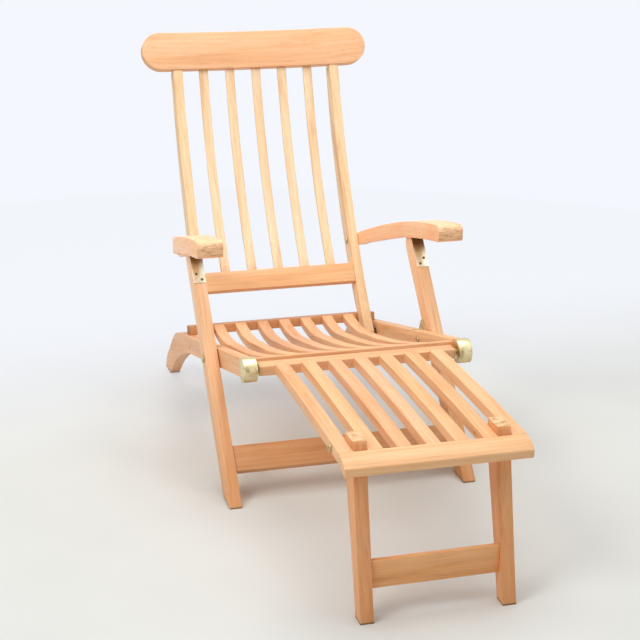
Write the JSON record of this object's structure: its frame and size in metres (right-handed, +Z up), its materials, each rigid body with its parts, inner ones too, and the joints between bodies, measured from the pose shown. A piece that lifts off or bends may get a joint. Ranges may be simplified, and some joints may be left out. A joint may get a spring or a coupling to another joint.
{
  "type": "steamer deck chair",
  "caption": "Folding teak deck chair with slatted dished seat, curved slatted back with rounded head rail, flat arms, crossed front legs and a hinged slatted footrest on folding legs, brass fittings",
  "frame": {"origin": "on the floor under the middle of the chair's bounding box", "axes": "+X to the sitter's left when seen from the front as the viewer's right, +Y to the rear, +Z up; the footrest points to -Y"},
  "size_m": [0.61, 1.5012, 0.8757],
  "materials": {
    "teak": "smooth oiled grain",
    "brass": "polished, slightly tarnished"
  },
  "bodies": {
    "seat_frame": {"side_rail_left": "teak", "side_rail_right": "teak", "seat_rear_bar": "teak", "seat_front_bar": "teak", "seat_slat_1": "teak", "seat_slat_2": "teak", "seat_slat_3": "teak", "seat_slat_4": "teak", "seat_slat_5": "teak", "seat_slat_6": "teak", "seat_slat_7": "teak", "rail_cap_left": "brass", "rail_cap_right": "brass", "leg_stop_left": "brass", "leg_stop_right": "brass", "back_bolts": "brass", "leg_bolts": "brass"},
    "back": {"stile_left": "teak", "stile_right": "teak", "back_lower_rail": "teak", "back_slat_1": "teak", "back_slat_2": "teak", "back_slat_3": "teak", "back_slat_4": "teak", "back_slat_5": "teak", "head_rail": "teak", "arm_bolts": "brass"},
    "arm_left": {"arm_left": "teak"},
    "arm_right": {"arm_right": "teak"},
    "front_legs": {"front_leg_left": "teak", "front_leg_right": "teak", "leg_stretcher": "teak", "leg_strap_left": "brass", "leg_strap_right": "brass", "strap_screws": "brass"},
    "footrest": {"footrest_bar": "teak", "footrest_slat_1": "teak", "footrest_slat_2": "teak", "footrest_slat_3": "teak", "footrest_slat_4": "teak", "footrest_slat_5": "teak", "footrest_slat_6": "teak", "footrest_slat_7": "teak", "footrest_board": "teak", "footrest_bolts": "brass", "footrest_plate_left": "brass", "footrest_plate_right": "brass"},
    "footrest_legs": {"footrest_leg_left": "teak", "footrest_leg_right": "teak", "footrest_stretcher": "teak"}
  },
  "joints": [
    {"name": "back_fold", "type": "hinge", "parent": "seat_frame", "child": "back", "pos_m": [0, 0.35142, 0.16502], "axis": [1, 0, 0], "range_deg": [0, 80]},
    {"name": "arm_left_fold", "type": "hinge", "parent": "back", "child": "arm_left", "pos_m": [0, 0.50242, 0.36602], "axis": [1, 0, 0], "range_deg": [-86.8, 0]},
    {"name": "arm_right_fold", "type": "hinge", "parent": "back", "child": "arm_right", "pos_m": [0, 0.50242, 0.36602], "axis": [1, 0, 0], "range_deg": [-86.8, 0]},
    {"name": "front_legs_fold", "type": "hinge", "parent": "seat_frame", "child": "front_legs", "pos_m": [0, 0.03667, 0.25392], "axis": [1, 0, 0], "range_deg": [0, 82]},
    {"name": "footrest_lift", "type": "hinge", "parent": "seat_frame", "child": "footrest", "pos_m": [0, -0.20764, 0.3141], "axis": [1, 0, 0], "range_deg": [-60, 85]},
    {"name": "footrest_legs_fold", "type": "hinge", "parent": "footrest", "child": "footrest_legs", "pos_m": [0, -0.63764, 0.314], "axis": [1, 0, 0], "range_deg": [0, 100]}
  ],
  "couplings": [
    {"joint": "arm_left_fold", "follows": "back_fold", "ratio": -1.06},
    {"joint": "arm_right_fold", "follows": "back_fold", "ratio": -1.06},
    {"joint": "front_legs_fold", "follows": "back_fold", "ratio": 1}
  ]
}
